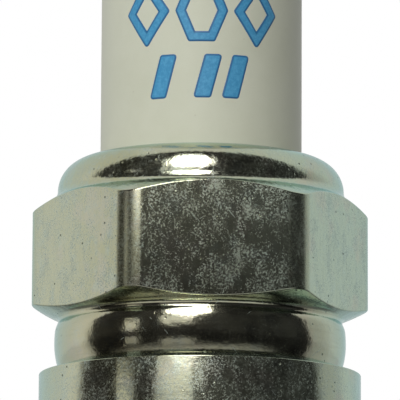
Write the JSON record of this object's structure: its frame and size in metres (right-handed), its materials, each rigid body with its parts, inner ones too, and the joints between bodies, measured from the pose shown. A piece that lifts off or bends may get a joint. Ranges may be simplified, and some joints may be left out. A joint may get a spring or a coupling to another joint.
{
  "type": "spark plug",
  "caption": "Resistor spark plug with a threaded plated-steel shell, hexagon, crush washer, ribbed ceramic insulator, screw-on terminal and fine-wire electrodes.",
  "frame": {"origin": "on the plug's axis, in the plane where the gasket's underside meets the cylinder head", "axes": "+Z along the plug's axis towards the terminal, -Z towards the spark gap; two flats of the hexagon face -Y and +Y; the ground electrode's leg stands at +X"},
  "size_m": [0.018, 0.0172, 0.075],
  "materials": {
    "plated_steel": "bright zinc-nickel plating with a faint yellow-green cast, fine pits on the hexagon's flats",
    "glazed_ceramic": "off-white alumina ceramic with a clear glaze",
    "printed_mark": null,
    "washer_steel": "plain plated sheet steel",
    "talc": "pressed white powder",
    "terminal_steel": "turned and plated steel",
    "terminal_nickel": "bright nickel plate",
    "seal_glass": "fused copper-glass mixture",
    "resistor_compound": "carbon and glass compound",
    "electrode_nickel": "drawn nickel alloy, matt",
    "copper": "plain copper",
    "precious_metal": "ground iridium and platinum alloy"
  },
  "bodies": {
    "plug_body": {"shell": "plated_steel", "insulator": "glazed_ceramic", "insulator_seat_washer": "washer_steel", "lower_packing_ring": "washer_steel", "talc_powder_seal": "talc", "upper_packing_ring": "washer_steel", "terminal_stud": "terminal_steel", "upper_glass_seal": "seal_glass", "resistor": "resistor_compound", "lower_glass_seal": "seal_glass", "centre_electrode": "electrode_nickel", "centre_electrode_core": "copper", "tip_weld": "electrode_nickel", "iridium_tip": "precious_metal", "ground_electrode": "electrode_nickel", "ground_electrode_core": "copper", "platinum_pad": "precious_metal"},
    "crush_gasket": {"gasket": "washer_steel"},
    "screw_terminal": {"terminal_nut": "terminal_nickel"}
  },
  "joints": [
    {"name": "gasket_spin", "type": "hinge", "parent": "plug_body", "child": "crush_gasket", "pos_m": [0, 0, 0.0009], "axis": [0, 0, 1], "continuous": true},
    {"name": "terminal_nut_lift", "type": "slide", "parent": "plug_body", "child": "screw_terminal", "axis": [0, 0, 1], "range_m": [0, 0.006]}
  ]
}
